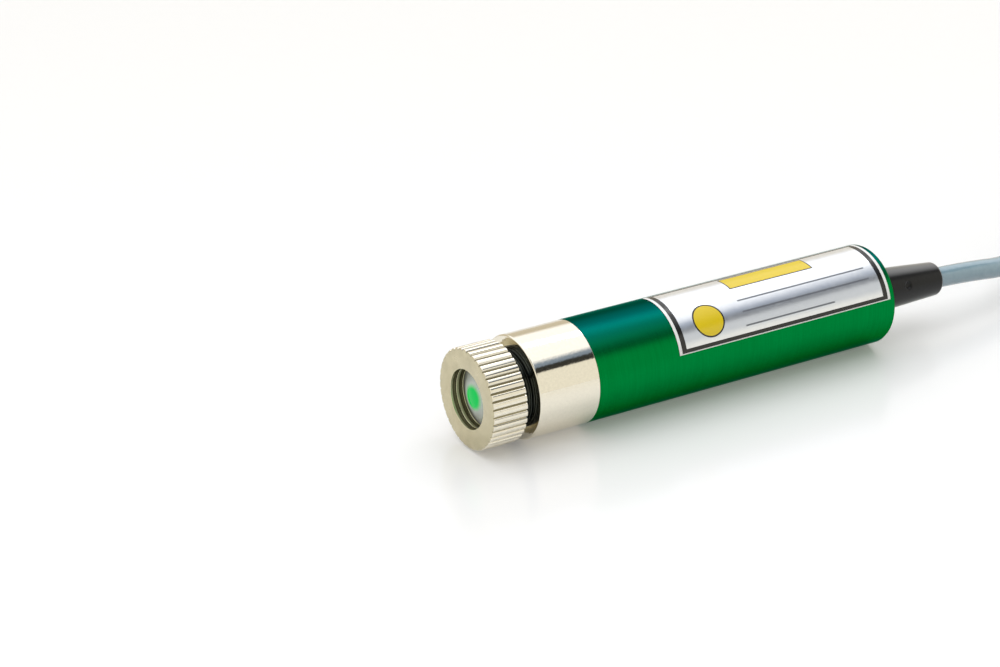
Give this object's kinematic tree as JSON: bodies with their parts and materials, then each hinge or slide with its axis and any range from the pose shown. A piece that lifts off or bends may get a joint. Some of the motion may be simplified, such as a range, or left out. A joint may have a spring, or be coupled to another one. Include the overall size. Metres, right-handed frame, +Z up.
{
  "type": "laser diode module",
  "caption": "Round-barrelled laser diode module with a knurled focus ring at the front, a foil label, a rubber strain relief at the back and a thin two-core lead.",
  "frame": {"origin": "on the supporting surface, under the middle of the module from the focus ring's face to the strain relief's end, cable left out", "axes": "+X along the barrel, the way the beam leaves; +Z up; the label faces +Y and +Z"},
  "size_m": [0.184, 0.0299, 0.0161],
  "materials": {
    "nickel": "bright nickel plate on brass",
    "black_anodised": "black anodised, satin",
    "lens_glass": "polished, coated",
    "spring_steel": "plain spring steel",
    "brass": "turned",
    "diode_can": "gold plated",
    "circuit_board": "solder mask",
    "black_moulding": "moulded",
    "trimmer_blue": "moulded",
    "capacitor_yellow": "moulded",
    "insulating_film": "clear film",
    "core_red": "PVC",
    "core_black": "PVC",
    "green_anodised": "green anodised, semi-gloss",
    "label_foil": "silver foil, glossy",
    "black_rubber": "matt",
    "grey_jacket": "satin PVC",
    "tie_plastic": "flat twist tie",
    "tinned_copper": "tinned"
  },
  "bodies": {
    "housing": {"front_sleeve": "nickel", "focus_spring": "spring_steel", "diode_holder": "brass", "laser_diode": "diode_can", "diode_retainer": "brass", "driver_board": "circuit_board", "driver_ic": "black_moulding", "trim_potentiometer": "trimmer_blue", "storage_inductor": "black_moulding", "filter_capacitor": "capacitor_yellow", "chip_resistors": "black_moulding", "insulating_sleeve": "insulating_film", "supply_core_red": "core_red", "supply_core_black": "core_black", "housing_tube": "green_anodised", "type_label": "label_foil", "strain_relief": "black_rubber", "cable_entry": "grey_jacket", "cable_lead": "grey_jacket", "cable_hank": "grey_jacket", "hank_ties": "tie_plastic", "end_core_red": "core_red", "end_core_black": "core_black", "wire_ferrules": "tinned_copper"},
    "focus_carrier": {"spring_washer": "spring_steel"},
    "focus_head": {"focus_ring": "nickel", "lens_barrel": "black_anodised", "lens_retainer": "nickel", "collimating_lens": "lens_glass"}
  },
  "joints": [
    {"name": "focus_travel", "type": "slide", "parent": "housing", "child": "focus_carrier", "axis": [1, 0, 0], "range_m": [-0.00151, 0.00151], "deforming": ["focus_spring"]},
    {"name": "focus_turn", "type": "hinge", "parent": "focus_carrier", "child": "focus_head", "pos_m": [0, 0, 0.008], "axis": [1, 0, 0], "range_deg": [-1080, 1080]}
  ],
  "couplings": [
    {"joint": "focus_travel", "follows": "focus_turn", "m_per_rad": 0.000079577}
  ]
}
